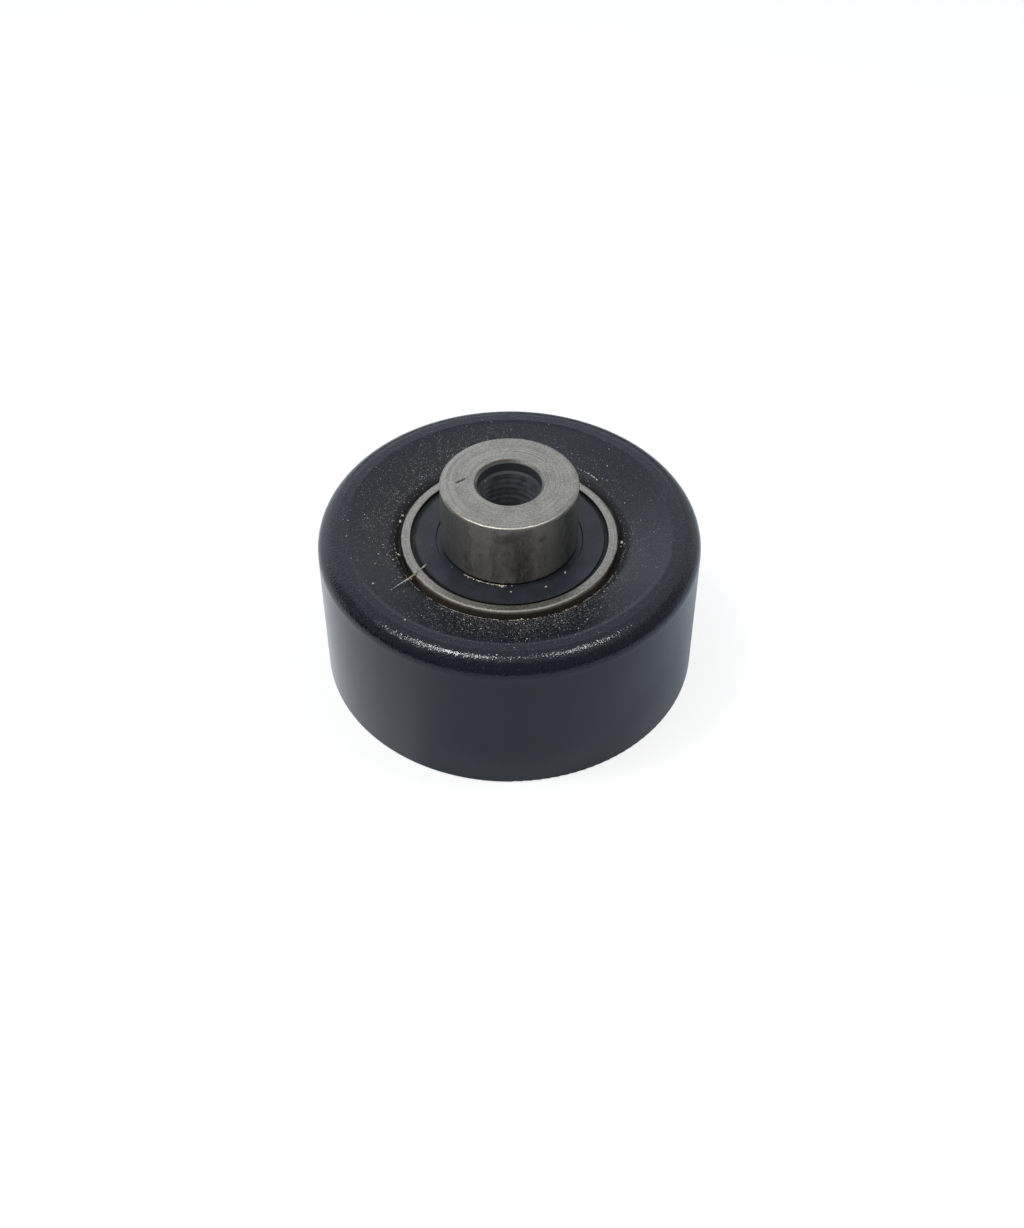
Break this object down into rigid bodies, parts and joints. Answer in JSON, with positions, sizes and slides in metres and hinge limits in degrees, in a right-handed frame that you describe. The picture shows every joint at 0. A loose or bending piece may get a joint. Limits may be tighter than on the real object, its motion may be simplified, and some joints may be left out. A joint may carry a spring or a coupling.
{
  "type": "idler pulley",
  "caption": "Flat belt idler: a drawn steel pulley shell on a sealed ball bearing, with a threaded spacer bush standing out of one side.",
  "frame": {"origin": "on the pulley's axis, in the plane of the rim's trimmed edge that it stands on", "axes": "+Z along the axis towards the spacer bush's collar; X and Y are any two radii"},
  "size_m": [0.07, 0.07, 0.0412],
  "materials": {
    "shell_coat": "satin",
    "ring_steel": "satin",
    "ball_steel": "polished",
    "cage_steel": "satin",
    "seal_rubber": "satin",
    "bush_steel": "satin"
  },
  "bodies": {
    "spindle": {"spacer_bush": "bush_steel", "bearing_inner_ring": "ring_steel"},
    "pulley": {"pulley_shell": "shell_coat", "bearing_outer_ring": "ring_steel", "upper_seal": "seal_rubber", "lower_seal": "seal_rubber"},
    "cage": {"cage_upper_half": "cage_steel", "cage_lower_half": "cage_steel", "cage_rivets": "cage_steel"},
    "ball_1": {"ball_1": "ball_steel"},
    "ball_2": {"ball_2": "ball_steel"},
    "ball_3": {"ball_3": "ball_steel"},
    "ball_4": {"ball_4": "ball_steel"},
    "ball_5": {"ball_5": "ball_steel"},
    "ball_6": {"ball_6": "ball_steel"},
    "ball_7": {"ball_7": "ball_steel"},
    "ball_8": {"ball_8": "ball_steel"}
  },
  "joints": [
    {"name": "pulley_spin", "type": "hinge", "parent": "spindle", "child": "pulley", "pos_m": [0, 0, 0], "axis": [0, 0, 1], "continuous": true},
    {"name": "cage_spin", "type": "hinge", "parent": "spindle", "child": "cage", "pos_m": [0, 0, 0], "axis": [0, 0, 1], "continuous": true},
    {"name": "ball_1_roll", "type": "hinge", "parent": "cage", "child": "ball_1", "pos_m": [0.01425, 0, 0.0225], "axis": [0, 0, 1], "continuous": true},
    {"name": "ball_2_roll", "type": "hinge", "parent": "cage", "child": "ball_2", "pos_m": [0.01008, 0.01008, 0.0225], "axis": [0, 0, 1], "continuous": true},
    {"name": "ball_3_roll", "type": "hinge", "parent": "cage", "child": "ball_3", "pos_m": [0, 0.01425, 0.0225], "axis": [0, 0, 1], "continuous": true},
    {"name": "ball_4_roll", "type": "hinge", "parent": "cage", "child": "ball_4", "pos_m": [-0.01008, 0.01008, 0.0225], "axis": [0, 0, 1], "continuous": true},
    {"name": "ball_5_roll", "type": "hinge", "parent": "cage", "child": "ball_5", "pos_m": [-0.01425, 0, 0.0225], "axis": [0, 0, 1], "continuous": true},
    {"name": "ball_6_roll", "type": "hinge", "parent": "cage", "child": "ball_6", "pos_m": [-0.01008, -0.01008, 0.0225], "axis": [0, 0, 1], "continuous": true},
    {"name": "ball_7_roll", "type": "hinge", "parent": "cage", "child": "ball_7", "pos_m": [0, -0.01425, 0.0225], "axis": [0, 0, 1], "continuous": true},
    {"name": "ball_8_roll", "type": "hinge", "parent": "cage", "child": "ball_8", "pos_m": [0.01008, -0.01008, 0.0225], "axis": [0, 0, 1], "continuous": true}
  ],
  "couplings": [
    {"joint": "cage_spin", "follows": "pulley_spin", "ratio": 0.61837},
    {"joint": "ball_1_roll", "follows": "pulley_spin", "ratio": 1.9937},
    {"joint": "ball_2_roll", "follows": "pulley_spin", "ratio": 1.9937},
    {"joint": "ball_3_roll", "follows": "pulley_spin", "ratio": 1.9937},
    {"joint": "ball_4_roll", "follows": "pulley_spin", "ratio": 1.9937},
    {"joint": "ball_5_roll", "follows": "pulley_spin", "ratio": 1.9937},
    {"joint": "ball_6_roll", "follows": "pulley_spin", "ratio": 1.9937},
    {"joint": "ball_7_roll", "follows": "pulley_spin", "ratio": 1.9937},
    {"joint": "ball_8_roll", "follows": "pulley_spin", "ratio": 1.9937}
  ]
}
